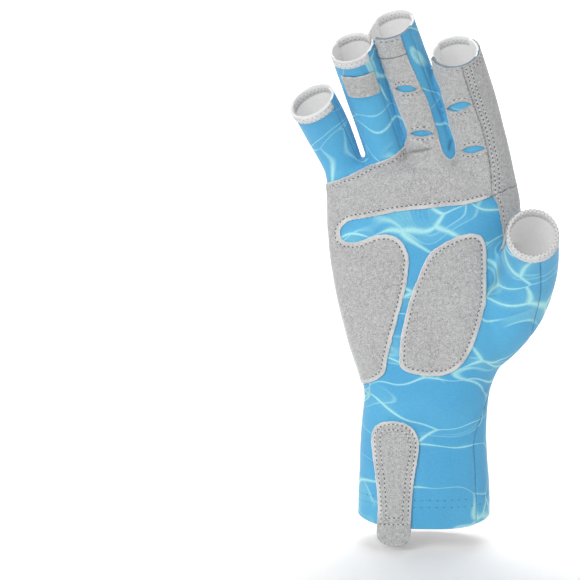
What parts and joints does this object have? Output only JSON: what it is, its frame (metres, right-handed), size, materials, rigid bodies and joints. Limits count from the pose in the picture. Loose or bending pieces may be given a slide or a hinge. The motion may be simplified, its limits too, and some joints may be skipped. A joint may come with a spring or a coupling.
{
  "type": "fishing glove",
  "caption": "Fingerless right-hand sun glove in its worn shape, stretch fabric with suede palm patches, bound finger ends and a pull tab at the cuff.",
  "frame": {"origin": "centre of the wrist opening, in the plane of the cuff's edge", "axes": "+Z from the cuff to the fingertips, +X to the thumb's side, -Y out of the palm"},
  "size_m": [0.1286, 0.0634, 0.2572],
  "materials": {
    "fabric": "matt stretch knit, sky blue with a pale print of light on water",
    "suede": "light grey microfibre suede",
    "tape": "white folded tape"
  },
  "bodies": {
    "root": {"palm_panel": "fabric", "back_panel": "fabric", "fourchette_index_middle": "fabric", "fourchette_middle_ring": "fabric", "fourchette_ring_little": "fabric", "palm_patch": "suede", "middle_tip_patch": "suede", "ring_patch": "suede", "thenar_patch": "suede", "index_side_strip": "suede", "crotch_patch": "suede", "pull_tab": "suede", "hem_index": "tape", "hem_middle": "tape", "hem_ring_palm": "tape", "hem_ring_back": "tape", "hem_little": "tape", "hem_thumb": "tape"}
  },
  "joints": []
}
